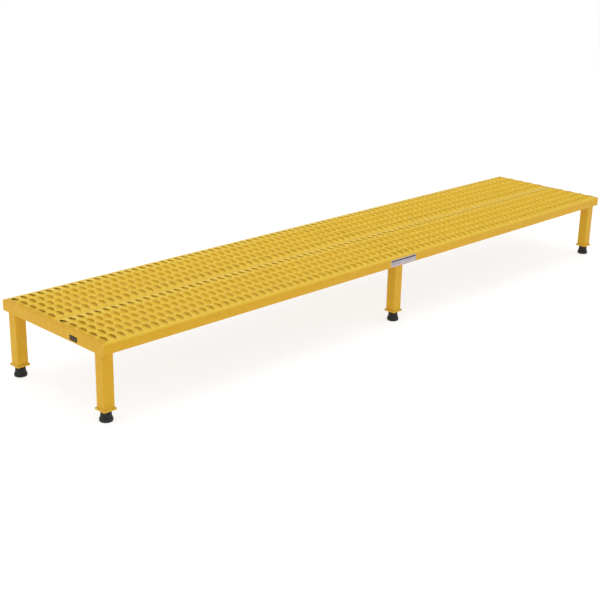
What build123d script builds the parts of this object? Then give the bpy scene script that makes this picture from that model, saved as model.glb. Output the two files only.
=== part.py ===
"""Long six-legged work platform bench: two serrated-grating planks on three leg frames.

Millimetres. The origin is on the floor under the middle of the deck.
+X runs along the bench, -Y is its front and +Z points up.
"""
import os

from build123d import *

os.makedirs("parts", exist_ok=True)

# Deck
deck_length = 3048.0
deck_width = 609.6
deck_top = 304.8
plank_depth = 50.8
tread_rise = 9.5
sheet = 2.7
plank_gap = 1.2
lip_width = 25.0
bend_radius = 4.0

# Diamond openings, long way across the plank
rows_per_plank = 5
diamond_columns = 84
row_pitch = 58.0
column_pitch = 36.0
diamond_length = 50.0
diamond_width = 23.0
tread_margin = 2.0

# End rails and cross bars
end_rail_flange = 19.0
end_rail_thickness = 3.2
end_rail_radius = 2.5
cross_bar_thickness = 6.35
fitting_gap = 0.3
contact_gap = 0.1

# Outer legs
leg_inset_end = 10.0
leg_inset_side = 17.0
leg_size = 44.45
leg_wall = 3.0
leg_corner_radius = 3.0
collar_size = 54.0
collar_thickness = 6.0
collar_corner_radius = 2.0
collar_bottom = 42.0

# Telescoping inner legs
inner_leg_radius = 15.875
inner_leg_wall = 3.0
inner_leg_bottom = 8.0
inner_leg_top = 230.0
sliding_gap = 0.35
guide_height = 12.0
guide_corner_radius = 2.0

# Rubber feet
foot_sole_radius = 22.0
foot_base_radius = 24.5
foot_base_edge = 3.0
foot_rim_height = 8.0
foot_flare_height = 26.0
foot_neck_radius = 19.7
foot_top = 41.5

# Socket set screws and their weld nuts, 3/8 inch
screw_height = 76.0
screw_radius = 4.76
screw_bore_radius = 4.82
screw_wall_hole_radius = 5.6
screw_tip_gap = 0.3
screw_standoff = 1.5
screw_chamfer = 0.8
socket_flats = 4.76
socket_depth = 5.0
nut_flats = 14.3
nut_thickness = 6.6
nut_chamfer = 0.7

# Labels
label_thickness = 0.3
rail_label_start = -74.0
rail_label_length = 159.0
rail_label_height = 30.0
rail_label_top_margin = 8.7
end_label_centre_y = -138.0
end_label_length = 44.0
end_label_height = 19.0
end_label_bottom_margin = 6.0

# Derived sizes
deck_underside = deck_top - plank_depth
rail_top = deck_top - tread_rise
half_length = deck_length / 2
half_width = deck_width / 2
plank_width = half_width - plank_gap / 2
plank_centre_y = half_width - plank_width / 2
web_half_length = half_length - end_rail_flange - fitting_gap
tread_half_width = (rows_per_plank - 1) / 2 * row_pitch + diamond_length / 2 + tread_margin
leg_centre_x = half_length - leg_inset_end - leg_size / 2
leg_centre_y = half_width - leg_inset_side - leg_size / 2
leg_top = deck_underside - cross_bar_thickness
leg_bore_half = leg_size / 2 - leg_wall
collar_top = collar_bottom + collar_thickness

STATIONS = {"left": -leg_centre_x, "centre": 0.0, "right": leg_centre_x}
SIDES = {"front": -1, "back": 1}


def finish(part, node):
    """Label one piece and write it under its node name."""
    part.label = node
    export_step(part, f"parts/{node}.step")


def hexagon_radius(across_flats):
    """Circumscribed radius of a hexagon from its size across the flats."""
    return across_flats / 3**0.5


def make_planks():
    """Two formed planks: lipped side flanges, flat margins and a raised diamond tread.

    The front plank is built and the back plank is its mirror image.
    """
    outer_y = -half_width
    inner_y = -plank_gap / 2
    centre_y = -plank_centre_y
    with BuildPart() as plank:
        # the outer side of the folded sheet, lip to tread, then its mirror image
        with BuildSketch(Plane.YZ.offset(-half_length)):
            with BuildLine():
                Polyline(
                    (outer_y + lip_width, deck_underside),
                    (outer_y, deck_underside),
                    (outer_y, rail_top),
                    (centre_y - tread_half_width, rail_top),
                    (centre_y - tread_half_width, deck_top),
                )
                offset(amount=sheet, side=Side.RIGHT, kind=Kind.INTERSECTION)
            make_face()
        extrude(amount=deck_length)
        top_bend = plank.edges().filter_by(Axis.X).group_by(Axis.Y)[0].sort_by(Axis.Z)[-1]
        fillet(top_bend, bend_radius)
        mirror(about=Plane.XZ.offset(-centre_y))
        # the end rails take the place of the web; only the outer flange runs on to the corners
        for end in (-1, 1):
            with BuildSketch(Plane.YZ.offset(end * web_half_length)):
                with Locations(((outer_y + sheet + inner_y) / 2, rail_top)):
                    Rectangle(inner_y - outer_y - sheet, 2 * plank_depth)
            extrude(amount=end * half_length, mode=Mode.SUBTRACT)
        # the tread panel with its rows of diamonds
        with BuildSketch(Plane.XY.offset(deck_top - sheet).move(Location((0, centre_y, 0)))):
            Rectangle(2 * web_half_length, 2 * tread_half_width)
            diamond = (
                (diamond_width / 2, 0),
                (0, diamond_length / 2),
                (-diamond_width / 2, 0),
                (0, -diamond_length / 2),
            )
            with GridLocations(column_pitch, row_pitch, diamond_columns, rows_per_plank):
                Polygon(*diamond, mode=Mode.SUBTRACT)
        extrude(amount=sheet)
    finish(plank.part, "plank_front")
    finish(mirror(plank.part, about=Plane.XZ), "plank_back")


def make_end_rail(node, end):
    """Angle rail across one end: an outer face and a top flange that meets the planks' webs."""
    inner_half_width = half_width - sheet - contact_gap
    with BuildPart() as rail:
        with BuildSketch(Plane.XZ.offset(-inner_half_width)):
            with BuildLine():
                Polyline(
                    (end * half_length, deck_underside),
                    (end * half_length, rail_top),
                    (end * (half_length - end_rail_flange), rail_top),
                    (end * (half_length - end_rail_flange), rail_top - end_rail_thickness),
                    (end * (half_length - end_rail_thickness), rail_top - end_rail_thickness),
                    (end * (half_length - end_rail_thickness), deck_underside),
                    close=True,
                )
            make_face()
        extrude(amount=2 * inner_half_width)
        corner = rail.edges().filter_by(Axis.Y).group_by(Axis.Z)[-1].sort_by(Axis.X)
        fillet(corner[-1] if end > 0 else corner[0], end_rail_radius)
    finish(rail.part, node)


def make_cross_bar(node, x):
    """Flat bar under the planks that ties a front leg to a back leg."""
    with BuildPart() as bar:
        with BuildSketch(Plane.XY.offset(leg_top)):
            with Locations((x, 0)):
                Rectangle(leg_size, 2 * leg_centre_y + leg_size)
        extrude(amount=cross_bar_thickness)
    finish(bar.part, node)


def make_leg_tube(node, x, y):
    """Fixed square tube with a hole for the lock screw in its rear wall."""
    with BuildPart() as tube:
        with BuildSketch(Plane.XY.offset(collar_top)):
            with Locations((x, y)):
                RectangleRounded(leg_size, leg_size, leg_corner_radius)
                RectangleRounded(
                    2 * leg_bore_half,
                    2 * leg_bore_half,
                    leg_corner_radius / 2,
                    mode=Mode.SUBTRACT,
                )
        extrude(amount=leg_top - collar_top)
        with BuildSketch(Plane.XZ.offset(-y)):
            with Locations((x, screw_height)):
                Circle(screw_wall_hole_radius)
        extrude(amount=-leg_size, mode=Mode.SUBTRACT)
    finish(tube.part, node)


def make_leg_collar(node, x, y):
    """Square plate that closes the leg tube and guides the round inner leg."""
    with BuildPart() as collar:
        with BuildSketch(Plane.XY.offset(collar_bottom)):
            with Locations((x, y)):
                RectangleRounded(collar_size, collar_size, collar_corner_radius)
                Circle(inner_leg_radius + sliding_gap, mode=Mode.SUBTRACT)
        extrude(amount=collar_thickness)
    finish(collar.part, node)


def make_inner_leg(node, x, y):
    """Round telescoping tube inside the leg."""
    with BuildPart() as leg:
        with BuildSketch(Plane.XY.offset(inner_leg_bottom)):
            with Locations((x, y)):
                Circle(inner_leg_radius)
                Circle(inner_leg_radius - inner_leg_wall, mode=Mode.SUBTRACT)
        extrude(amount=inner_leg_top - inner_leg_bottom)
    finish(leg.part, node)


def make_leg_guide(node, x, y):
    """Plastic plug in the inner leg's top that keeps it straight in the square tube."""
    guide_size = 2 * (leg_bore_half - sliding_gap)
    with BuildPart() as guide:
        with BuildSketch(Plane.XY.offset(inner_leg_top)):
            with Locations((x, y)):
                RectangleRounded(guide_size, guide_size, guide_corner_radius)
        extrude(amount=guide_height)
        with BuildSketch(Plane.XY.offset(inner_leg_top)):
            with Locations((x, y)):
                Circle(inner_leg_radius - inner_leg_wall - contact_gap)
        extrude(amount=-guide_height)
    finish(guide.part, node)


def make_rubber_foot(node, x, y):
    """Flared rubber tip pushed over the inner leg's lower end."""
    with BuildPart() as foot:
        with BuildSketch(Plane.XZ.offset(-y).move(Location((x, 0, 0)))):
            with BuildLine():
                sole = Line((0, 0), (foot_sole_radius, 0))
                edge = TangentArc(sole @ 1, (foot_base_radius, foot_base_edge), tangent=(1, 0))
                rim = Line(edge @ 1, (foot_base_radius, foot_rim_height))
                flare = Spline(
                    rim @ 1,
                    (foot_neck_radius, foot_flare_height),
                    tangents=((0, 1), (0, 1)),
                )
                Polyline(
                    flare @ 1,
                    (foot_neck_radius, foot_top),
                    (inner_leg_radius, foot_top),
                    (inner_leg_radius, inner_leg_bottom),
                    (0, inner_leg_bottom),
                    (0, 0),
                )
            make_face()
        revolve(axis=Axis((x, y, 0), (0, 0, 1)))
    finish(foot.part, node)


def make_lock_nut(node, x, y):
    """Weld nut on the leg tube's rear face."""
    face_y = y + leg_size / 2
    with BuildPart() as nut:
        with BuildSketch(Plane.XZ.offset(-face_y)):
            with Locations((x, screw_height)):
                RegularPolygon(hexagon_radius(nut_flats), 6)
        extrude(amount=-nut_thickness)
        outer_face = nut.faces().filter_by(Axis.Y).sort_by(Axis.Y)[-1]
        chamfer(outer_face.edges(), nut_chamfer)
        with BuildSketch(Plane.XZ.offset(-face_y)):
            with Locations((x, screw_height)):
                Circle(screw_bore_radius)
        extrude(amount=-nut_thickness, mode=Mode.SUBTRACT)
    finish(nut.part, node)


def make_lock_screw(node, x, y):
    """Socket set screw whose tip presses on the inner leg."""
    tip_y = y + inner_leg_radius + screw_tip_gap
    end_y = y + leg_size / 2 + nut_thickness + screw_standoff
    with BuildPart() as screw:
        with BuildSketch(Plane.XZ.offset(-tip_y)):
            with Locations((x, screw_height)):
                Circle(screw_radius)
        extrude(amount=tip_y - end_y)
        chamfer(screw.edges().filter_by(GeomType.CIRCLE), screw_chamfer)
        with BuildSketch(Plane.XZ.offset(-end_y)):
            with Locations((x, screw_height)):
                RegularPolygon(hexagon_radius(socket_flats), 6)
        extrude(amount=socket_depth, mode=Mode.SUBTRACT)
    finish(screw.part, node)


def make_rail_label():
    """Long sticker on the front flange, above the middle leg."""
    centre_x = rail_label_start + rail_label_length / 2
    centre_z = rail_top - rail_label_top_margin - rail_label_height / 2
    with BuildPart() as label:
        with BuildSketch(Plane.XZ.offset(half_width)):
            with Locations((centre_x, centre_z)):
                Rectangle(rail_label_length, rail_label_height)
        extrude(amount=label_thickness)
    finish(label.part, "rail_label")


def make_end_label():
    """Small sticker on the left end rail."""
    centre_z = deck_underside + end_label_bottom_margin + end_label_height / 2
    with BuildPart() as label:
        with BuildSketch(Plane.YZ.offset(-half_length)):
            with Locations((end_label_centre_y, centre_z)):
                Rectangle(end_label_length, end_label_height)
        extrude(amount=-label_thickness)
    finish(label.part, "end_label")


make_planks()
make_end_rail("end_rail_left", -1)
make_end_rail("end_rail_right", 1)

for station, station_x in STATIONS.items():
    make_cross_bar(f"cross_bar_{station}", station_x)
    for side_name, side_sign in SIDES.items():
        place = f"{side_name}_{station}"
        leg_y = side_sign * leg_centre_y
        make_leg_tube(f"leg_tube_{place}", station_x, leg_y)
        make_leg_collar(f"leg_collar_{place}", station_x, leg_y)
        make_inner_leg(f"inner_leg_{place}", station_x, leg_y)
        make_leg_guide(f"leg_guide_{place}", station_x, leg_y)
        make_rubber_foot(f"rubber_foot_{place}", station_x, leg_y)
        make_lock_nut(f"lock_nut_{place}", station_x, leg_y)
        make_lock_screw(f"lock_screw_{place}", station_x, leg_y)

make_rail_label()
make_end_label()
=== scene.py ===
"""Yellow six-legged work platform bench with a serrated diamond-grating deck.

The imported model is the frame. Shapes are in millimetres until mesh_object() turns them into metres.
Materials, the camera, the floor and the lights are in metres.
"""
import math
import bmesh
import bpy
import numpy as np
from mathutils import Euler, Matrix, Vector


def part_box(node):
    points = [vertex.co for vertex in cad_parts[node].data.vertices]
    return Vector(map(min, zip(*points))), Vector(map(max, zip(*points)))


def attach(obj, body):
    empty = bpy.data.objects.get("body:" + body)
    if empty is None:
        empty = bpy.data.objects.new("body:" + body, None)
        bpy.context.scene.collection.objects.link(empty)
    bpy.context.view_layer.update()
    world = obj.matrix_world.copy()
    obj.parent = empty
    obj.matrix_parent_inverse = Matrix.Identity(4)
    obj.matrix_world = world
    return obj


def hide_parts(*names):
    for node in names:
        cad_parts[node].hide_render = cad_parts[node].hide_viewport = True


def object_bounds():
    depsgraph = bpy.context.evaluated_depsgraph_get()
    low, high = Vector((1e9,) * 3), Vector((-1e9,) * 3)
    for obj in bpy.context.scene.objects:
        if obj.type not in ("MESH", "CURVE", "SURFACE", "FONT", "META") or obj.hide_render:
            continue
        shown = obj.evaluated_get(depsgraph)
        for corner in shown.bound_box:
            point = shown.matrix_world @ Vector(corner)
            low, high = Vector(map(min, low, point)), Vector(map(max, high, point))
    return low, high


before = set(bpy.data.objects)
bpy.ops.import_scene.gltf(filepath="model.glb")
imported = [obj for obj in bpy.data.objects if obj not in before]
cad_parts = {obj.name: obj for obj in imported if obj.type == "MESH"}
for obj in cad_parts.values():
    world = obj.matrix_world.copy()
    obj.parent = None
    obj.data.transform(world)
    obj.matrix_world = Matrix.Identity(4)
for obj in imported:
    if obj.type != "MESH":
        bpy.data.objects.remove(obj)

cad_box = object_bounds()
MM = 0.001
SIDES = {"front": -1, "back": 1}
STATIONS = ("left", "centre", "right")
PLACES = [f"{side}_{station}" for station in STATIONS for side in SIDES]


def mm_box(node):
    """Lowest and highest corners of a CAD node in millimetres."""
    low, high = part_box(node)
    return np.array(low) / MM, np.array(high) / MM


def smooth(t):
    """Smooth step from 0 to 1."""
    return t * t * (3 - 2 * t)


# ---------------------------------------------------------------- materials

# the part of its range in which a noise texture mostly lies
NOISE_LOW, NOISE_HIGH = 0.3, 0.7
# how closely a rounded normal matches the true one on flat areas and at an edge
FLAT_MATCH, EDGE_MATCH = 0.985, 0.86


class Nodes:
    """Short calls for building one node material."""

    def __init__(self, name):
        self.material = bpy.data.materials.new(name)
        self.material.use_nodes = True
        self.tree = self.material.node_tree
        self.shader = self.tree.nodes["Principled BSDF"]
        self.where = self.add("ShaderNodeTexCoord").outputs["Object"]

    def add(self, kind, **values):
        node = self.tree.nodes.new(kind)
        for key, value in values.items():
            setattr(node, key, value)
        return node

    def link(self, source, target):
        self.tree.links.new(source, target)

    def noise(self, scale, detail=3.0, roughness=0.55, stretch=None):
        """Object-space noise; stretch scales the axes to draw the grain out."""
        where = self.where
        if stretch:
            mapping = self.add("ShaderNodeMapping")
            mapping.inputs["Scale"].default_value = stretch
            self.link(where, mapping.inputs["Vector"])
            where = mapping.outputs["Vector"]
        node = self.add("ShaderNodeTexNoise")
        node.inputs["Scale"].default_value = scale
        node.inputs["Detail"].default_value = detail
        node.inputs["Roughness"].default_value = roughness
        self.link(where, node.inputs["Vector"])
        return node.outputs["Fac"]

    def ramp(self, source, *stops):
        """Colour ramp from two (position, colour) stops."""
        node = self.add("ShaderNodeValToRGB")
        for element, (position, colour) in zip(node.color_ramp.elements, stops):
            element.position = position
            element.color = (*colour, 1)
        self.link(source, node.inputs["Fac"])
        return node.outputs["Color"]

    def mix(self, factor, first, second):
        """Colour mix; each argument is a socket or a fixed value."""
        node = self.add("ShaderNodeMix", data_type="RGBA")
        sockets = (node.inputs[0], node.inputs[6], node.inputs[7])
        for socket, value in zip(sockets, (factor, first, second)):
            if isinstance(value, bpy.types.NodeSocket):
                self.link(value, socket)
            else:
                socket.default_value = value if isinstance(value, float) else (*value, 1)
        return node.outputs[2]

    def range(self, source, low, high, to_low=0.0, to_high=1.0):
        """Numbers from low to high, spread over to_low to to_high and kept inside it."""
        node = self.add("ShaderNodeMapRange")
        limits = {"From Min": low, "From Max": high, "To Min": to_low, "To Max": to_high}
        for name, value in limits.items():
            node.inputs[name].default_value = value
        self.link(source, node.inputs["Value"])
        return node.outputs["Result"]

    def tint(self, noise, low, high):
        """Colour between low and high over a noise."""
        return self.ramp(noise, (NOISE_LOW, low), (NOISE_HIGH, high))

    def gloss(self, noise, low, high):
        """Roughness between low and high over a noise."""
        return self.range(noise, NOISE_LOW, NOISE_HIGH, low, high)

    def bump(self, *layers):
        """Stacked bumps from (height socket, strength, distance in metres)."""
        normal = None
        for height, strength, distance in layers:
            node = self.add("ShaderNodeBump")
            node.inputs["Strength"].default_value = strength
            node.inputs["Distance"].default_value = distance
            self.link(height, node.inputs["Height"])
            if normal is not None:
                self.link(normal, node.inputs["Normal"])
            normal = node.outputs["Normal"]
        self.link(normal, self.shader.inputs["Normal"])

    def edges(self, low, high):
        """0 on flat areas to 1 on convex edges of a dense mesh."""
        geometry = self.add("ShaderNodeNewGeometry")
        return self.range(geometry.outputs["Pointiness"], low, high)

    def corners(self, radius):
        """0 on flat areas to 1 beside any edge, for meshes with large faces."""
        rounded = self.add("ShaderNodeBevel", samples=4)
        rounded.inputs["Radius"].default_value = radius
        geometry = self.add("ShaderNodeNewGeometry")
        match = self.add("ShaderNodeVectorMath", operation="DOT_PRODUCT")
        self.link(rounded.outputs["Normal"], match.inputs[0])
        self.link(geometry.outputs["Normal"], match.inputs[1])
        return self.range(match.outputs["Value"], FLAT_MATCH, EDGE_MATCH)

    def set(self, **values):
        """Link or set the shader's inputs by name."""
        for key, value in values.items():
            socket = self.shader.inputs[key.replace("_", " ")]
            if isinstance(value, bpy.types.NodeSocket):
                self.link(value, socket)
            else:
                socket.default_value = value


# heights in metres between which the coat turns from its own colour to another one: a tread's flange to its
# paler top, an opening's wall from painted shade to a paler top by its teeth, and a recess to painted shade
# that is darkest near the top of the channel
COAT_CHANGE = {"tread": (0.287, 0.297), "wall": (0.2945, 0.3030), "recess": (0.262, 0.284)}
# paler top coat: on the tread partly walking wear and partly painted light on the top faces, and on an
# opening's wall painted light by its teeth
WALKED_AND_LIT_COAT = ((0.82, 0.545, 0.034), (0.88, 0.615, 0.060))
# painted shade inside the channel under the tread
RECESS_PAINTED_SHADE = ((0.060, 0.026, 0.002), (0.090, 0.042, 0.003))
# worn edges, partly wear and partly a painted highlight that is strongest on the tread's teeth: their
# colours, and the width of a plain edge's rub in metres
TREAD_WEAR_AND_HIGHLIGHT, WEAR_AND_HIGHLIGHT = (0.98, 0.78, 0.22), (0.93, 0.66, 0.13)
PLAIN_EDGE = 0.0016


def powder_coat(name, shade, kind="plain"):
    """Satin yellow powder coat: slight colour drift, orange peel, and worn edges that are partly a painted
    highlight.

    shade darkens it, and the darker copies for openings' walls and recesses are painted shade. A tread is
    paler on top, partly as walking wear and partly as painted light on its top faces; an opening's wall
    carries painted shade that turns to the paler top colour towards its teeth; and a recess carries painted
    shade, darkest near the top of the channel.
    """
    n = Nodes(name)

    def tone(red, green, blue):
        return (red * shade, green * shade, blue * shade)

    drift = n.tint(n.noise(2.3, 2.0), tone(0.80, 0.432, 0.010), tone(0.85, 0.478, 0.016))
    fine = n.ramp(n.noise(60.0, 4.0), (0.35, tone(0.76, 0.40, 0.008)), (0.65, tone(0.88, 0.515, 0.024)))
    mottled = n.mix(0.35, drift, fine)
    if kind != "plain":
        height = n.add("ShaderNodeSeparateXYZ")
        n.link(n.where, height.inputs["Vector"])
        # the paler top coat, or in a recess the painted shade
        other = n.mix(n.noise(45.0, 4.0), *(RECESS_PAINTED_SHADE if kind == "recess" else WALKED_AND_LIT_COAT))
        mottled = n.mix(n.range(height.outputs["Z"], *COAT_CHANGE[kind]), mottled, other)
    edge = 0.0
    if kind == "tread":
        edge = n.edges(0.55, 0.72)
    if kind == "plain":
        edge = n.corners(PLAIN_EDGE)
    # worn edges, also a painted highlight; on the tread they light the teeth's tips
    worn_and_highlit_colour = TREAD_WEAR_AND_HIGHLIGHT if kind == "tread" else WEAR_AND_HIGHLIGHT
    worn_and_highlit = n.mix(n.range(n.noise(420.0, 3.0, 0.7), 0.38, 0.58), mottled, worn_and_highlit_colour)
    n.set(
        Base_Color=n.mix(edge, mottled, worn_and_highlit),
        Roughness=n.gloss(n.noise(35.0, 4.0), 0.40, 0.54),
        Specular_IOR_Level=0.26,
    )
    n.bump((n.noise(260.0, 2.0), 0.22, 0.00035), (n.noise(900.0, 2.0), 0.16, 0.00016))
    return n.material


def zinc_plate():
    """Bright zinc on drawn steel tube and screws."""
    n = Nodes("zinc_plate")
    cloudy = n.tint(n.noise(90.0, 4.0), (0.56, 0.57, 0.56), (0.74, 0.74, 0.72))
    drawn = n.noise(1.0, 3.0, 0.6, stretch=(900.0, 900.0, 12.0))
    streaks = n.ramp(drawn, (0.35, (0.50, 0.50, 0.50)), (0.65, (0.82, 0.81, 0.79)))
    n.set(
        Base_Color=n.mix(0.25, cloudy, streaks),
        Metallic=1.0,
        Roughness=n.gloss(n.noise(140.0, 3.0), 0.26, 0.42),
    )
    n.bump((drawn, 0.12, 0.0001), (n.noise(600.0, 2.0), 0.08, 0.0001))
    return n.material


def black_nylon():
    """Moulded nylon of the inner legs' guides."""
    n = Nodes("black_nylon")
    n.set(
        Base_Color=n.tint(n.noise(120.0, 3.0), (0.016, 0.016, 0.017), (0.034, 0.034, 0.035)),
        Roughness=n.gloss(n.noise(300.0, 2.0), 0.38, 0.52),
    )
    n.bump((n.noise(1100.0, 2.0), 0.2, 0.0001))
    return n.material


def black_rubber():
    """Matt moulded rubber with scuffed edges."""
    n = Nodes("black_rubber")
    base = n.tint(n.noise(70.0, 4.0), (0.0085, 0.0085, 0.0088), (0.020, 0.020, 0.020))
    scuffed = n.mix(n.range(n.noise(500.0, 3.0, 0.7), 0.45, 0.65), base, (0.075, 0.073, 0.070))
    n.set(
        Base_Color=n.mix(n.edges(0.52, 0.60), base, scuffed),
        Roughness=n.gloss(n.noise(180.0, 3.0), 0.52, 0.70),
        Specular_IOR_Level=0.35,
    )
    n.bump((n.noise(700.0, 3.0), 0.3, 0.0002))
    return n.material


def vinyl(name, low, high, roughness):
    """Printed vinyl with a faint grain, its colour between low and high."""
    n = Nodes(name)
    n.set(
        Base_Color=n.tint(n.noise(55.0, 3.0), low, high),
        Roughness=n.gloss(n.noise(220.0, 2.0), roughness, roughness + 0.1),
        Specular_IOR_Level=0.22,
    )
    n.bump((n.noise(500.0, 2.0), 0.1, 0.0001))
    return n.material


def pale_floor():
    """Plain studio floor that glows a little, to stay as pale as its background."""
    n = Nodes("pale_floor")
    n.set(
        Base_Color=n.tint(n.noise(0.6, 2.0), (0.39, 0.39, 0.39), (0.41, 0.41, 0.41)),
        Roughness=0.9,
        Specular_IOR_Level=0.1,
        Emission_Color=(1, 1, 1, 1),
        Emission_Strength=0.745,
    )
    return n.material


YELLOW = powder_coat("powder_coat", 0.86)
YELLOW_TREAD = powder_coat("powder_coat_tread", 0.88, "tread")
# darker copy for the openings' walls: painted shade that turns paler towards the teeth
YELLOW_WALL_PAINTED_SHADE = powder_coat("powder_coat_wall_painted_shade", 0.77, "wall")
# darker copy for the underside and the flanges' insides: painted shade
YELLOW_RECESS_PAINTED_SHADE = powder_coat("powder_coat_recess_painted_shade", 0.62, "recess")
ZINC = zinc_plate()
NYLON = black_nylon()
RUBBER = black_rubber()
LABEL_PALE = vinyl("label_pale", (0.50, 0.44, 0.49), (0.57, 0.51, 0.55), 0.40)
LABEL_INK = vinyl("label_ink", (0.036, 0.029, 0.029), (0.062, 0.050, 0.048), 0.42)
LABEL_BLACK = vinyl("label_black", (0.008, 0.005, 0.002), (0.018, 0.012, 0.005), 0.50)
LABEL_GREY = vinyl("label_grey", (0.13, 0.095, 0.045), (0.19, 0.145, 0.075), 0.44)


# ------------------------------------------------------------------ helpers


def mesh_object(name, points, faces, materials, body, slot, replaced=(), marks=None, sharp=35):
    """One visible piece from millimetre points, riding a CAD body.

    marks choose each face's material, and edges over the sharp angle in degrees stay sharp.
    """
    mesh = bpy.data.meshes.new(name)
    metres = np.asarray(points, float) * MM
    mesh.from_pydata(metres.tolist(), [], [tuple(int(i) for i in face) for face in faces])
    for material in materials:
        mesh.materials.append(material)
    if marks is not None:
        mesh.polygons.foreach_set("material_index", np.array(marks, np.int32))
    mesh.validate()
    mesh.polygons.foreach_set("use_smooth", np.ones(len(mesh.polygons), bool))
    mesh.set_sharp_from_angle(angle=math.radians(sharp))
    piece = bpy.data.objects.new(name, mesh)
    bpy.context.scene.collection.objects.link(piece)
    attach(piece, body)
    if replaced:
        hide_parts(*replaced)
    return piece


# decimals to which points are told apart, and how near a plane they count as on it
MERGE_DIGITS = 4
CLOSE = 1e-3


def merged(points, faces, marks=None):
    """Points closer than the last digit become one, and faces that collapse are dropped."""
    points = np.round(np.asarray(points, float), MERGE_DIGITS)
    marks = [0] * len(faces) if marks is None else marks
    unique, index = np.unique(points, axis=0, return_inverse=True)
    index = index.reshape(-1)
    kept, kept_marks = [], []
    for face, mark in zip(faces, marks):
        loop = []
        for i in face:
            j = int(index[i])
            if not loop or loop[-1] != j:
                loop.append(j)
        if len(loop) > 1 and loop[0] == loop[-1]:
            loop.pop()
        if len(set(loop)) >= 3:
            kept.append(tuple(loop))
            kept_marks.append(mark)
    return unique, kept, kept_marks


def joined(parts):
    """The points and faces of several (points, faces) parts as one."""
    points, faces = [], []
    for part_points, part_faces in parts:
        start = len(points)
        points += [tuple(point) for point in part_points]
        faces += [[i + start for i in face] for face in part_faces]
    return points, faces


def outward(piece):
    """Face normals point out of a closed piece."""
    b = bmesh.new()
    b.from_mesh(piece.data)
    bmesh.ops.recalc_face_normals(b, faces=b.faces)
    b.to_mesh(piece.data)
    b.free()


# ------------------------------------------------------------------ grating

# the sheet, its lattice of openings, each opening's half width and half length, and the points round it
SHEET = 2.7
COLUMNS, ROWS = 84, 5
COLUMN_PITCH, ROW_PITCH = 36.0, 58.0
OPENING = (8.6, 23.6)
OPENING_SHAPE = 1.6
RING = 24
QUARTER = RING // 4

# the tread: flat at its margin, a little raised inside, and dished between four openings
TREAD_HALF = 143.0
MARGIN_TOP = 295.3
TROUGH_RISE, TROUGH_BLEND = 1.6, 12.0
DISH = 1.0

# an opening's turned-up edge: where it leaves the sheet, from lip (0) to cell border (1), and its heights
EDGE_FOOT = 0.32
FOOT_RISE, FLAT_FOOT_DROP = 0.7, 0.4
LIP_THICKNESS, LIP_STRETCH, LIP_SLOPE = 1.7, 1.2, 0.25
LOW_LIP = 0.6

# its teeth: heights, how they fall off towards the opening's ends, and their uneven wear
TOOTH_TOP, TOOTH_NOTCH = 304.8, 3.8
TOOTH_FALL, TOOTH_FALL_POWER = 0.42, 1.6
TOOTH_WEAR, WEAR_SEED = 0.12, 11

# its wall under the lip
WALL_DEPTH, BORDER_WALL_DEPTH = 6.5, 7.0

# how much flatter an edge is where it faces the border, and over which span of facing it gets flatter
BORDER_LIPS = 0.12
FACING_START, FACING_SPAN = -0.05, 0.45
# where across a plank the teeth end and the plain slots start, and how soon the slots' walls turn shallow
LAST_TEETH, PLAIN_SLOTS = 87.0, 126.0
SHALLOWING = 1.5

# the folded sides, the start of a lip's flat underside past its bend, and the gap to an end rail
BEND, LIP_BEND, LIP_WIDTH = 4.0, 2.5, 25.0
PAST_BEND = 0.01
RAIL_GAP = 0.3
GRATING_SHARP = 32


def ring(half_x, half_y, power=1.0):
    """Points round a rounded diamond, anticlockwise from +X."""
    t = np.arange(QUARTER) / QUARTER
    far, near = (1 - t) ** (1 / power), t ** (1 / power)
    x = np.concatenate([far, -near, -far, near]) * half_x
    y = np.concatenate([near, far, -near, -far]) * half_y
    return np.stack([x, y], 1)


def sheet_level(x, y, web_half):
    """Height of the tread's troughs: raised inside, down to the margin at its border."""
    inside = np.minimum(web_half - np.abs(x), TREAD_HALF - np.abs(y))
    return MARGIN_TOP + TROUGH_RISE * smooth(np.clip(inside / TROUGH_BLEND, 0, 1))


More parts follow.
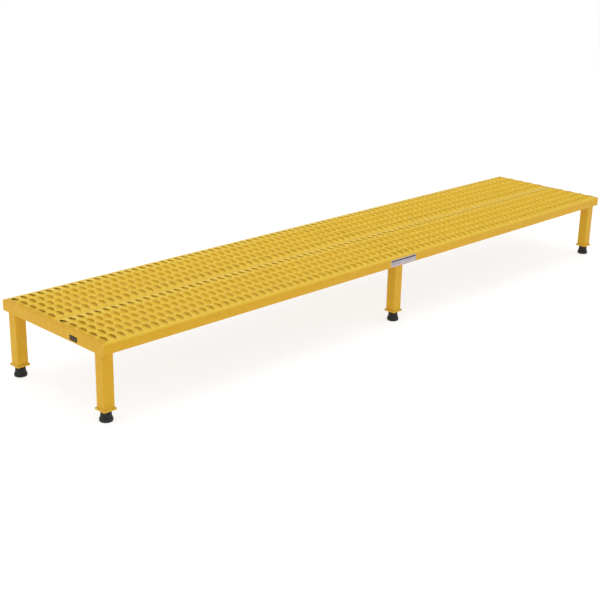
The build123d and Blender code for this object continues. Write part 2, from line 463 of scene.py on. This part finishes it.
def tread(web_half):
    """Points, faces, marks and column places of one plank's tread about its own centre line.

    Mark 0 is the top, 1 an opening's wall and 2 the underside.
    """
    rng = np.random.default_rng(WEAR_SEED)
    columns = (np.arange(COLUMNS) - (COLUMNS - 1) / 2) * COLUMN_PITCH
    between = (columns[:-1] + columns[1:]) / 2
    rows = (np.arange(ROWS) - (ROWS - 1) / 2) * ROW_PITCH
    half_rows = (rows[:-1] + rows[1:]) / 2
    centres = np.array([(x, y) for y in rows for x in columns])
    count = len(centres)

    cell = centres[:, None, :] + ring(COLUMN_PITCH / 2, ROW_PITCH / 2)[None]
    cell[..., 0] = np.clip(cell[..., 0], -web_half, web_half)
    cell[..., 1] = np.clip(cell[..., 1], -TREAD_HALF, TREAD_HALF)
    level = sheet_level(cell[..., 0], cell[..., 1], web_half)
    outside = (OPENING[0] + LIP_THICKNESS, OPENING[1] + LIP_THICKNESS * LIP_STRETCH)
    outer = centres[:, None, :] + ring(*outside, OPENING_SHAPE)[None]
    inner = centres[:, None, :] + ring(*OPENING, OPENING_SHAPE)[None]
    foot = outer + EDGE_FOOT * (cell - outer)

    # the edges that face the flat border are turned up less
    unit = ring(1.0, 1.0, OPENING_SHAPE)
    outermost = np.where(np.abs(centres) > [columns[-1] - 1, rows[-1] - 1], np.sign(centres), 0)
    at_border = (np.abs(outermost).sum(1) > 0)[:, None]
    facing = np.max(outermost[:, None, :] * unit[None], axis=2)
    flat = BORDER_LIPS * smooth(np.clip((facing - FACING_START) / FACING_SPAN, 0, 1) * at_border)
    # and the teeth die away to plain slots beside the rear border
    rear = np.clip((outer[..., 1] - LAST_TEETH) / (PLAIN_SLOTS - LAST_TEETH), 0, 1)
    flat = np.maximum(flat, smooth(rear))
    foot_z = sheet_level(foot[..., 0], foot[..., 1], web_half) + FOOT_RISE - FLAT_FOOT_DROP * flat

    # teeth stand highest beside the middle of an opening and die away to its ends
    envelope = 1 - TOOTH_FALL * np.abs(unit[:, 1]) ** TOOTH_FALL_POWER
    rise = TOOTH_TOP - MARGIN_TOP - TROUGH_RISE
    notch = np.where(np.arange(RING) % 2 == 1, TOOTH_NOTCH, 0.0)
    tall = MARGIN_TOP + TROUGH_RISE + rise * envelope - notch
    tall = tall[None] - np.abs(rng.normal(0, TOOTH_WEAR, (count, RING)))
    low = sheet_level(outer[..., 0], outer[..., 1], web_half) + LOW_LIP
    lip_z = tall + flat * (low - tall)
    depth = np.where(at_border, BORDER_WALL_DEPTH, WALL_DEPTH) * np.ones(RING)
    depth = depth + np.clip(rear * SHALLOWING, 0, 1) * (SHEET - depth)
    wall_bottom = sheet_level(inner[..., 0], inner[..., 1], web_half) - depth

    def layer(xy, z):
        """Points of every ring in one layer."""
        return np.concatenate([xy, np.broadcast_to(z, xy.shape[:2])[..., None]], 2).reshape(-1, 3)

    layers = [
        layer(cell, level),
        layer(foot, foot_z),
        layer(outer, lip_z - LIP_SLOPE),
        layer(inner, lip_z),
        layer(inner, wall_bottom),
        layer(cell, level - SHEET),
    ]
    points = np.concatenate(layers)
    size = count * RING
    k = np.arange(size)
    after = np.where(k % RING == RING - 1, k - RING + 1, k + 1)
    faces, marks = [], []
    for n, mark in enumerate((0, 0, 0, 1, 2)):
        upper, under = n * size, (n + 1) * size
        faces += np.stack([upper + k, upper + after, under + after, under + k], 1).tolist()
        marks += [mark] * size

    # half cells left along the borders and ends, and the corners
    extra_points, fillers = [], []

    def both_sheets(polygon, lowered=0.0):
        """Add points on the top sheet and under them on the underside; returns where they start."""
        start = len(points) + len(extra_points)
        z = sheet_level(polygon[:, 0], polygon[:, 1], web_half) - lowered
        for drop in (0.0, SHEET):
            extra_points.extend(np.column_stack([polygon, z - drop]).tolist())
        return start

    def fill(polygon):
        """A filler on the top sheet and its copy on the underside."""
        start, n = both_sheets(np.array(polygon)), len(polygon)
        fillers.append(list(range(start, start + n)))
        fillers.append(list(range(start + 2 * n - 1, start + n - 1, -1)))
        marks.extend([0, 2])

    def edge_point(centre, t, sx, sy):
        """Point on a cell's edge from its X corner (t = 0) to its Y corner (t = 1)."""
        x = centre[0] + sx * COLUMN_PITCH / 2 * (1 - t)
        y = centre[1] + sy * ROW_PITCH / 2 * t
        return (max(-web_half, min(web_half, x)), max(-TREAD_HALF, min(TREAD_HALF, y)))

    spans = [(i / QUARTER, (i + 1) / QUARTER) for i in range(QUARTER)]
    for sy in (-1, 1):
        row = rows[-1] * sy
        for x0, x1 in zip(columns[:-1], columns[1:]):
            for t0, t1 in spans:
                fill(
                    [
                        edge_point((x0, row), t0, 1, sy),
                        edge_point((x1, row), t0, -1, sy),
                        edge_point((x1, row), t1, -1, sy),
                        edge_point((x0, row), t1, 1, sy),
                    ][::sy]
                )
    for sx in (-1, 1):
        column = columns[-1] * sx
        for y0, y1 in zip(rows[:-1], rows[1:]):
            for t0, t1 in spans:
                fill(
                    [
                        edge_point((column, y0), t0, sx, 1),
                        edge_point((column, y1), t0, sx, -1),
                        edge_point((column, y1), t1, sx, -1),
                        edge_point((column, y0), t1, sx, 1),
                    ][:: -sx]
                )
        for sy in (-1, 1):
            corner, last = (sx * web_half, sy * TREAD_HALF), (column, rows[-1] * sy)
            for t0, t1 in spans:
                fill([corner, edge_point(last, t1, sx, sy), edge_point(last, t0, sx, sy)][:: sx * sy])

    # the closed, dished diamonds where four openings meet
    lowered = np.append(np.zeros(RING), DISH)
    for centre in [(x, y) for y in half_rows for x in between]:
        rim = centre + ring(COLUMN_PITCH / 2, ROW_PITCH / 2)
        start = both_sheets(np.vstack([rim, [centre]]), lowered)
        under = start + RING + 1
        for i in range(RING):
            j = (i + 1) % RING
            fillers.append([start + i, start + j, start + RING])
            fillers.append([under + j, under + i, under + RING])
            marks.extend([0, 2])
    points = np.concatenate([points, extra_points])
    points, faces, marks = merged(points, faces + fillers, marks)

    # the cut ends of the sheet
    def end_points(x, z):
        """The points of an end at a height, from the front to the back."""
        found = np.where((np.abs(points[:, 0] - x) < CLOSE) & (np.abs(points[:, 2] - z) < CLOSE))[0]
        return sorted(found, key=lambda i: points[i, 1])

    for sx in (-1, 1):
        top, low = (end_points(sx * web_half, z) for z in (MARGIN_TOP, MARGIN_TOP - SHEET))
        for a, b, c, d in zip(top[:-1], top[1:], low[1:], low[:-1]):
            faces.append([a, b, c, d][:: -sx])
            marks.append(0)
    return points, faces, marks, columns


def arc(centre_d, centre_z, radius, start, stop, steps):
    """Points on an arc, its angles in degrees from the outward direction."""
    angles = np.radians(np.linspace(start, stop, steps + 1))
    return [(centre_d + radius * math.cos(a), centre_z + radius * math.sin(a)) for a in angles]


def flange(half, underside, sections, flange_ends):
    """One folded side of a plank: margin, bend, flange and lip, about the plank's centre line.

    sections are the X places of its rings, and flange_ends where the flange alone goes on to at each end.
    """
    inner = half - SHEET
    over = math.degrees(math.acos((BEND - SHEET) / BEND))
    margin = [(TREAD_HALF, MARGIN_TOP), *arc(half - BEND, MARGIN_TOP - BEND, BEND, 90, over, 2)]
    face = [
        *arc(half - BEND, MARGIN_TOP - BEND, BEND, over, 0, 5)[1:],
        *arc(half - LIP_BEND, underside + LIP_BEND, LIP_BEND, 0, -90, 5)[:-1],
        (half - LIP_BEND - PAST_BEND, underside),
        (inner, underside),
    ]
    lip_edge = half - LIP_WIDTH
    lip = [(lip_edge, underside), (lip_edge, underside + SHEET), (inner, underside + SHEET)]
    inside = [*arc(half - BEND, MARGIN_TOP - BEND, BEND - SHEET, 0, 90, 3), (TREAD_HALF, MARGIN_TOP - SHEET)]
    loop = margin + face + lip + inside
    n = len(loop)
    first_face, last_face = len(margin) - 1, len(margin) + len(face) - 1
    corner, turn = last_face + 3, last_face + 4
    points = [(x, d, z) for x in sections for d, z in loop]
    faces, marks = [], []
    for s in range(len(sections) - 1):
        for j in range(n - 1):
            faces.append((s * n + j, (s + 1) * n + j, (s + 1) * n + j + 1, s * n + j + 1))
            marks.append(2 if j > last_face else 0)
    for section, end in ((0, flange_ends[0]), (len(sections) - 1, flange_ends[1])):
        start = section * n
        faces.append([start + j for j in [*range(0, first_face + 1), *range(turn, n)]])
        faces.append([start + j for j in range(last_face, corner + 1)])
        wall = [start + j for j in [*range(first_face, last_face + 1), corner, turn]]
        if end is None:
            faces.append(wall)
            continue
        more = [len(points) + j for j in range(len(wall))]
        points += [(end, points[i][1], points[i][2]) for i in wall]
        for a, b, c, d in zip(wall, wall[1:] + wall[:1], more[1:] + more[:1], more):
            faces.append((a, b, c, d))
        faces.append(more)
    marks += [0] * (len(faces) - len(marks))
    return points, faces, marks


def make_grating(side, sign):
    """One serrated plank, built about its centre line and set in place; it replaces the plain CAD plank."""
    low, high = mm_box(f"plank_{side}")
    rail_low, rail_high = mm_box("end_rail_right")
    web_half = high[0] - (rail_high[0] - rail_low[0]) - RAIL_GAP
    half = (high[1] - low[1]) / 2
    centre = (high[1] + low[1]) / 2
    points, faces, marks, columns = tread(web_half)
    sections = [-web_half, *columns, web_half]
    parts = [(points, faces)]
    for out in (-1, 1):
        ends = (low[0], high[0]) if out == sign else (None, None)
        side_points, side_faces, side_marks = flange(half, low[2], sections, ends)
        parts.append(([(x, out * d, z) for x, d, z in side_points], side_faces))
        marks += side_marks
    points, faces, marks = merged(*joined(parts), marks)
    points[:, 1] = points[:, 1] + centre
    # the openings' walls, and the underside with the flanges' insides, carry painted shade
    coats = [YELLOW_TREAD, YELLOW_WALL_PAINTED_SHADE, YELLOW_RECESS_PAINTED_SHADE]
    name = f"serrated_plank_{side}"
    piece = mesh_object(name, points, faces, coats, "deck", "powder_coat", [f"plank_{side}"], marks)
    outward(piece)
    piece.data.set_sharp_from_angle(angle=math.radians(GRATING_SHARP))


for side, sign in SIDES.items():
    make_grating(side, sign)


# ------------------------------------------------------------- small pieces


def ring_faces(rings, count, closed=False):
    """Quads between successive rings of count points; closed joins the last ring to the first."""
    faces = []
    for a in range(rings if closed else rings - 1):
        b = (a + 1) % rings
        for i in range(count):
            j = (i + 1) % count
            faces.append((a * count + i, a * count + j, b * count + j, b * count + i))
    return faces


def degrees(count):
    """Evenly spread angles of a full turn."""
    return [360 * i / count for i in range(count)]


def around_y(x, y, z, turns, rings):
    """Points of rings about an axis along Y; each ring has a radius and a place along Y for every turn."""
    return [
        (x + r * math.cos(math.radians(a)), y + along, z + r * math.sin(math.radians(a)))
        for one in rings
        for a, (r, along) in zip(turns, one)
    ]


def hexagon(flats, angle):
    """Distance from a hexagon's centre to its side, in the direction of an angle in degrees."""
    return flats / 2 / math.cos(math.radians(angle % 60 - 30))


FOOT_SIDES = 56
# radius and height of the tip's outline: socket, beaded mouth, grooved neck, flare, rim and ringed sole
FOOT_OUTLINE = (
    [(0.0, 8.1), (15.98, 8.1), (15.98, 40.9), (16.5, 41.5), (18.6, 41.5), (19.5, 41.0), (19.7, 40.0)]
    + [(19.7, 38.4), (19.2, 37.8), (18.6, 37.5), (18.5, 36.7), (19.1, 36.3), (19.5, 35.7), (19.5, 34.2)]
    + [(19.0, 33.6), (18.4, 33.3), (18.4, 32.5), (19.0, 32.1), (19.4, 31.5), (19.5, 28.5), (19.7, 25.0)]
    + [(20.2, 21.0), (21.1, 17.2), (22.3, 14.0), (23.5, 11.4), (24.3, 9.3), (24.54, 8.2), (24.54, 5.4)]
    + [(24.2, 4.9), (23.6, 4.6), (23.6, 4.0), (24.1, 3.6), (24.2, 2.2), (23.6, 0.8), (22.6, 0.0)]
    + [(20.6, 0.0), (20.2, 1.0), (18.4, 1.0), (18.0, 0.0), (14.6, 0.0), (14.2, 1.0), (12.4, 1.0)]
    + [(12.0, 0.0), (8.6, 0.0), (8.2, 1.0), (0.0, 1.0)]
)


def make_foot(place):
    """Moulded rubber tip turned from its outline."""
    low, high = mm_box(f"rubber_foot_{place}")
    x, y = (low[:2] + high[:2]) / 2
    turns = [2 * math.pi * i / FOOT_SIDES for i in range(FOOT_SIDES)]
    points = [(x + r * math.cos(a), y + r * math.sin(a), z) for r, z in FOOT_OUTLINE for a in turns]
    points, faces, _ = merged(points, ring_faces(len(FOOT_OUTLINE), FOOT_SIDES))
    name, node = f"moulded_foot_{place}", f"rubber_foot_{place}"
    outward(mesh_object(name, points, faces, [RUBBER], f"leg_{place}", "rubber", [node]))


SCREW_SIDES, SCREW_STEP = 24, 0.2
THREAD_PITCH, THREAD_DEPTH, SCREW_CHAMFER = 1.6, 0.75, 0.8
CUP_RIM, CUP_DEPTH = 1.2, 1.0
SOCKET_FLATS, SOCKET_DEPTH, SOCKET_TIP = 4.76, 5.0, 0.8


def make_screw(place):
    """Socket set screw: helical thread, chamfered ends, cup point and hexagon socket."""
    low, high = mm_box(f"lock_screw_{place}")
    x, z = (low[[0, 2]] + high[[0, 2]]) / 2
    radius, length = (high[0] - low[0]) / 2, high[1] - low[1]
    turns = degrees(SCREW_SIDES)
    rings = [[(0.0, CUP_DEPTH)] * SCREW_SIDES, [(radius - THREAD_DEPTH - CUP_RIM, 0.0)] * SCREW_SIDES]
    steps = round(length / SCREW_STEP)
    for k in range(steps + 1):
        along = length * k / steps
        limit = radius - SCREW_CHAMFER + min(along, length - along)
        cut = [abs(((along / THREAD_PITCH - a / 360) % 1) * 2 - 1) * THREAD_DEPTH for a in turns]
        rings.append([(min(radius - c, limit), along) for c in cut])
    socket = [hexagon(SOCKET_FLATS, a) for a in turns]
    rings.append([(r, length) for r in socket])
    rings.append([(r, length - SOCKET_DEPTH) for r in socket])
    rings.append([(0.0, length - SOCKET_DEPTH - SOCKET_TIP)] * SCREW_SIDES)
    points = around_y(x, low[1], z, turns, rings)
    points, faces, _ = merged(points, ring_faces(len(rings), SCREW_SIDES))
    name, node = f"threaded_screw_{place}", f"lock_screw_{place}"
    outward(mesh_object(name, points, faces, [ZINC], f"screw_{place}", "zinc_plate", [node]))


NUT_SIDES, NUT_SHARP, NUT_CHAMFER = 72, 28, 30
NUT_BORE, NUT_COUNTERSINK, NUT_FACE = 4.85, 5.7, 6.75
COUNTERSINK_DEPTH = 0.85


def nut_frame(place, count):
    """A weld nut's centre in X and Z, its lowest Y, its thickness, count turns and the radius at each."""
    low, high = mm_box(f"lock_nut_{place}")
    x, z = (low[[0, 2]] + high[[0, 2]]) / 2
    size = high - low
    corner_at = 0 if size[0] > size[2] else 30
    turns = degrees(count)
    reach = [hexagon(min(size[0], size[2]), a + corner_at) for a in turns]
    return x, z, low[1], size[1], turns, reach


def make_nut(place):
    """Weld nut: hexagon with its corners turned off and a countersunk bore."""
    x, z, start, thickness, turns, side = nut_frame(place, NUT_SIDES)
    drop = [max(0.0, r - NUT_FACE) * math.tan(math.radians(NUT_CHAMFER)) for r in side]
    rings = [
        [(r, 0.0) for r in side],
        [(r, thickness - d) for r, d in zip(side, drop)],
        [(min(r, NUT_FACE), thickness) for r in side],
        [(NUT_COUNTERSINK, thickness)] * NUT_SIDES,
        [(NUT_BORE, thickness - COUNTERSINK_DEPTH)] * NUT_SIDES,
        [(NUT_BORE, 0.0)] * NUT_SIDES,
    ]
    points = around_y(x, start, z, turns, rings)
    faces = ring_faces(len(rings), NUT_SIDES, closed=True)
    name, node = f"weld_nut_{place}", f"lock_nut_{place}"
    outward(mesh_object(name, points, faces, [YELLOW], "deck", "powder_coat", [node], sharp=NUT_SHARP))


for place in PLACES:
    make_foot(place)
    make_screw(place)
    make_nut(place)


# -------------------------------------------------------------------- welds

# spacing of a bead's points, how deep its root is sunk, and its tapered ends
WELD_STEP, ROOT, TAPER = 0.65, 0.15, (0.45, 0.75, 0.92)
# length and swell of its ripples, and how much and how fast its size drifts
RIPPLE, SWELL = 2.6, 0.10
SIZE_DRIFT, DRIFT_RATE = 0.04, 0.41
BEAD_POINTS = 6
WELD_SHARP = 50


def spaced(start, stop):
    """Points along a straight run."""
    start, stop = np.array(start, float), np.array(stop, float)
    count = max(2, round(float(np.linalg.norm(stop - start)) / WELD_STEP))
    return [start + (stop - start) * i / count for i in range(count + 1)]


def bead(path, across, up, size, closed=False):
    """Points and faces of a rippled fillet weld.

    across and up run along the two welded faces from each point of the path.
    """
    points, travelled = [], 0.0
    for i, (p, a, u) in enumerate(zip(path, across, up)):
        p, a, u = np.array(p, float), np.array(a, float), np.array(u, float)
        if i:
            travelled += float(np.linalg.norm(p - np.array(path[i - 1])))
        phase = travelled / RIPPLE % 1
        swell = 1 - SWELL + SWELL * abs(math.sin(math.pi * phase))
        leg = size * (1 - SIZE_DRIFT + SIZE_DRIFT * math.sin(travelled * DRIFT_RATE))
        end = min(i, len(path) - 1 - i)
        if not closed and end < len(TAPER):
            leg *= TAPER[end]
        points += [
            p - (a + u) * ROOT,
            p + a * leg,
            p + (a * 0.80 + u * 0.36) * leg * swell,
            p + (a + u) * 0.60 * leg * swell,
            p + (a * 0.36 + u * 0.80) * leg * swell,
            p + u * leg,
        ]
    faces = ring_faces(len(path), BEAD_POINTS, closed)
    if not closed:
        end = range(len(points) - BEAD_POINTS, len(points))
        faces += [tuple(range(BEAD_POINTS)), tuple(reversed(end))]
    return points, faces


def straight_bead(start, stop, across, up):
    """Bead of a cross bar's size along a straight run."""
    run = spaced(start, stop)
    return bead(run, [across] * len(run), [up] * len(run), BAR_WELD)


def make_welds(name, beads):
    """The beads as one painted piece of the deck."""
    outward(mesh_object(name, *joined(beads), [YELLOW], "deck", "powder_coat", sharp=WELD_SHARP))


def square_path(x, y, half, corner):
    """Points and outward directions round a rounded square."""
    path, out = [], []
    for turn in (0, 90, 180, 270):
        c, s = math.cos(math.radians(turn)), math.sin(math.radians(turn))
        straight = half - corner
        for along in np.arange(-straight, straight, WELD_STEP):
            path.append((x + c * half - s * along, y + s * half + c * along))
            out.append((c, s))
        for bend in (0, 22.5, 45, 67.5):
            a = math.radians(turn + bend)
            cx, cy = c * straight - s * straight, s * straight + c * straight
            path.append((x + cx + corner * math.cos(a), y + cy + corner * math.sin(a)))
            out.append((math.cos(a), math.sin(a)))
    return path, out


TUBE_CORNER, COLLAR_WELD, BAR_WELD, NUT_WELD = 3.0, 3.2, 3.4, 1.9
NUT_WELD_POINTS = 96
# how far a bead stops short of a tube's side, a cross bar's end, and a lip's edge and fold
TUBE_STOP, BAR_STOP, LIP_STOP, FOLD_STOP = 2, 1, 0.6, 0.4
UP, DOWN = (0, 0, 1), (0, 0, -1)

for place in PLACES:
    low, high = mm_box(f"leg_tube_{place}")
    x, y = (low[:2] + high[:2]) / 2
    half = (high[0] - low[0]) / 2
    path, out = square_path(x, y, half, TUBE_CORNER)
    ring_path = [(px, py, low[2]) for px, py in path]
    sideways = [(a, b, 0) for a, b in out]
    beads = [bead(ring_path, sideways, [UP] * len(path), COLLAR_WELD, closed=True)]

    # the tube's top, under the cross bar, on the side towards the deck's middle
    inward = -math.copysign(1, y)
    ends = [(end, y + inward * half, high[2]) for end in (x - half + TUBE_STOP, x + half - TUBE_STOP)]
    beads.append(straight_bead(*ends, (0, inward, 0), DOWN))

    nut_x, nut_z, tube_face, _, turns, reach = nut_frame(place, NUT_WELD_POINTS)
    radial = [(math.cos(math.radians(a)), 0, math.sin(math.radians(a))) for a in turns]
    round_nut = [(nut_x + r * d[0], tube_face, nut_z + r * d[2]) for r, d in zip(reach, radial)]
    beads.append(bead(round_nut, radial, [(0, 1, 0)] * NUT_WELD_POINTS, NUT_WELD, closed=True))
    make_welds(f"leg_welds_{place}", beads)

for station in STATIONS:
    low, high = mm_box(f"cross_bar_{station}")
    beads = []
    # along the bar under the two inner lips, and under each outer lip
    lip_edge = mm_box("plank_back")[1][1] - LIP_WIDTH
    runs = [
        (-LIP_WIDTH + BAR_STOP, LIP_WIDTH - BAR_STOP),
        (lip_edge + LIP_STOP, high[1] - FOLD_STOP),
        (low[1] + FOLD_STOP, -lip_edge - LIP_STOP),
    ]
    for edge, sx in ((low[0], -1), (high[0], 1)):
        for y0, y1 in runs:
            beads.append(straight_bead((edge, y0, high[2]), (edge, y1, high[2]), (sx, 0, 0), DOWN))
    for edge, sy in ((low[1], -1), (high[1], 1)):
        ends = [(x, edge, high[2]) for x in (low[0] + BAR_STOP, high[0] - BAR_STOP)]
        beads.append(straight_bead(*ends, (0, sy, 0), DOWN))
    make_welds(f"bar_welds_{station}", beads)


# ------------------------------------------------------------------- labels

# corners as whether they are at the left and at the bottom, with the angle where their arc starts
CORNER_START = {(True, True): 180, (False, True): 270, (False, False): 0, (True, False): 90}
CORNER_STEPS = 4


def make_label(name, node, wide, rounding, bars, field, ink, slot):
    """Sticker facing -X or -Y, with plain printed bars given as left, right, bottom, top in millimetres.

    wide is the axis, 0 or 1, of its width, and rounding the radius of its corners.
    """
    low, high = mm_box(node)
    thin = 1 - wide
    width, height = high[wide] - low[wide], high[2] - low[2]
    cuts = []
    for size, first in ((width, 0), (height, 2)):
        stops = {0.0, rounding, size - rounding, size}
        for bar in bars:
            stops.update(bar[first : first + 2])
        cuts.append(sorted(stops))
    points, faces, marks = [], [], []

    def corner_arc(u, v):
        """The rounded corner that replaces a sharp one, anticlockwise."""
        cu = rounding if u == 0 else width - rounding
        cv = rounding if v == 0 else height - rounding
        start = CORNER_START[u == 0, v == 0]
        angles = [math.radians(start + 90 * i / CORNER_STEPS) for i in range(CORNER_STEPS + 1)]
        return [(cu + rounding * math.cos(a), cv + rounding * math.sin(a)) for a in angles]

    def add(u, v, depth):
        """Index of a new point of the sticker."""
        place = [0.0, 0.0, low[2] + v]
        place[wide] = low[wide] + u
        place[thin] = depth
        points.append(place)
        return len(points) - 1

    used = {}
    front, back = low[thin], high[thin]
    for u0, u1 in zip(cuts[0][:-1], cuts[0][1:]):
        for v0, v1 in zip(cuts[1][:-1], cuts[1][1:]):
            loop = []
            for u, v in ((u0, v0), (u1, v0), (u1, v1), (u0, v1)):
                sharp_corner = u in (0.0, width) and v in (0.0, height)
                loop += corner_arc(u, v) if sharp_corner else [(u, v)]
            middle = ((u0 + u1) / 2, (v0 + v1) / 2)
            inked = any(b[0] < middle[0] < b[1] and b[2] < middle[1] < b[3] for b in bars)
            faces.append([add(u, v, front) for u, v in loop])
            marks.append(int(inked))
            faces.append([add(u, v, back) for u, v in loop][::-1])
            marks.append(0)
            for a, b in zip(loop, loop[1:] + loop[:1]):
                key = tuple(sorted(tuple(np.round(end, MERGE_DIGITS)) for end in (a, b)))
                used.setdefault(key, []).append((a, b))
    for edges in used.values():
        if len(edges) == 1:
            a, b = edges[0]
            faces.append([add(*a, front), add(*b, front), add(*b, back), add(*a, back)])
            marks.append(0)
    points, faces, marks = merged(points, faces, marks)
    outward(mesh_object(name, points, faces, [field, ink], "deck", slot, [node], marks))


RAIL_BARS = [
    (3.0, 156.0, 20.6, 26.6),
    (8.0, 66.0, 13.6, 14.8),
    (8.0, 54.0, 9.0, 10.2),
    (92.0, 150.0, 13.6, 14.8),
]
END_BARS = [(4.0, 40.0, 13.4, 14.6), (4.0, 40.0, 8.9, 10.1), (4.0, 40.0, 4.4, 5.6)]
make_label("printed_rail_label", "rail_label", 0, 2.0, RAIL_BARS, LABEL_PALE, LABEL_INK, "rail_label")
make_label("printed_end_label", "end_label", 1, 1.5, END_BARS, LABEL_BLACK, LABEL_GREY, "end_label")


# ------------------------------------------------- carried-over CAD finishes

FINISHES = {
    "end_rail_": YELLOW,
    "cross_bar_": YELLOW,
    "leg_tube_": YELLOW,
    "leg_collar_": YELLOW,
    "inner_leg_": ZINC,
    "leg_guide_": NYLON,
}
for node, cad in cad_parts.items():
    for start, finish in FINISHES.items():
        if node.startswith(start):
            cad.data.materials.clear()
            cad.data.materials.append(finish)

# --------------------------------------------------------- camera and light

# place in metres, angles in degrees, lens and sensor in millimetres
CAMERA_PLACE = (-3.58361, -3.23807, 1.69250)
CAMERA_YAW, CAMERA_PITCH, CAMERA_ROLL = 45.432, 19.176, 1.258
CAMERA_LENS, SENSOR_WIDTH, FAR_CLIP = 69.376, 36, 200

camera = bpy.data.objects.new("camera", bpy.data.cameras.new("camera"))
camera.data.lens = CAMERA_LENS
camera.data.sensor_width = SENSOR_WIDTH
camera.data.clip_end = FAR_CLIP
turn = Euler((math.radians(90 - CAMERA_PITCH), 0, math.radians(-CAMERA_YAW))).to_matrix()
turn = turn @ Matrix.Rotation(math.radians(CAMERA_ROLL), 3, "Z")
camera.matrix_world = Matrix.Translation(CAMERA_PLACE) @ turn.to_4x4()
bpy.context.scene.collection.objects.link(camera)
bpy.context.scene.camera = camera

FLOOR_HALF = 60
floor_mesh = bpy.data.meshes.new("floor")
corners = [(x * FLOOR_HALF, y * FLOOR_HALF, 0) for x, y in ((-1, -1), (1, -1), (1, 1), (-1, 1))]
floor_mesh.from_pydata(corners, [], [(0, 1, 2, 3)])
floor_mesh.materials.append(pale_floor())
floor = bpy.data.objects.new("floor", floor_mesh)
bpy.context.scene.collection.objects.link(floor)
floor.location.z = float(cad_box[0][2])

# the studio's walls are white near the floor and dimmer overhead: upward direction and colour
SKY = ((0.22, (0.95, 0.955, 0.96, 1)), (0.55, (0.53, 0.535, 0.545, 1)))

world = bpy.data.worlds.new("studio")
bpy.context.scene.world = world
world.use_nodes = True
sky = world.node_tree
direction = sky.nodes.new("ShaderNodeTexCoord")
height = sky.nodes.new("ShaderNodeSeparateXYZ")
shade = sky.nodes.new("ShaderNodeValToRGB")
for element, (position, colour) in zip(shade.color_ramp.elements, SKY):
    element.position = position
    element.color = colour
sky.links.new(direction.outputs["Generated"], height.inputs["Vector"])
sky.links.new(height.outputs["Z"], shade.inputs["Fac"])
sky.links.new(shade.outputs["Color"], sky.nodes["Background"].inputs["Color"])
sky.nodes["Background"].inputs["Strength"].default_value = 1.0


def area_light(name, place, target, size, power):
    """Soft rectangular light of a size in metres and a power in watts, turned to a target."""
    data = bpy.data.lights.new(name, "AREA")
    data.shape = "RECTANGLE"
    data.size, data.size_y = size
    data.energy = power
    light = bpy.data.objects.new(name, data)
    light.location = place
    light.rotation_euler = (Vector(target) - Vector(place)).to_track_quat("-Z", "Y").to_euler()
    bpy.context.scene.collection.objects.link(light)


area_light("overhead", (0.0, 0.4, 4.2), (0, 0, 0.3), (6.0, 4.0), 90)
area_light("left", (-5.0, 0.5, 2.2), (-0.5, 0, 0.2), (3.0, 2.2), 11)

bpy.context.scene.view_settings.view_transform = "Standard"
bpy.context.scene.view_settings.look = "None"
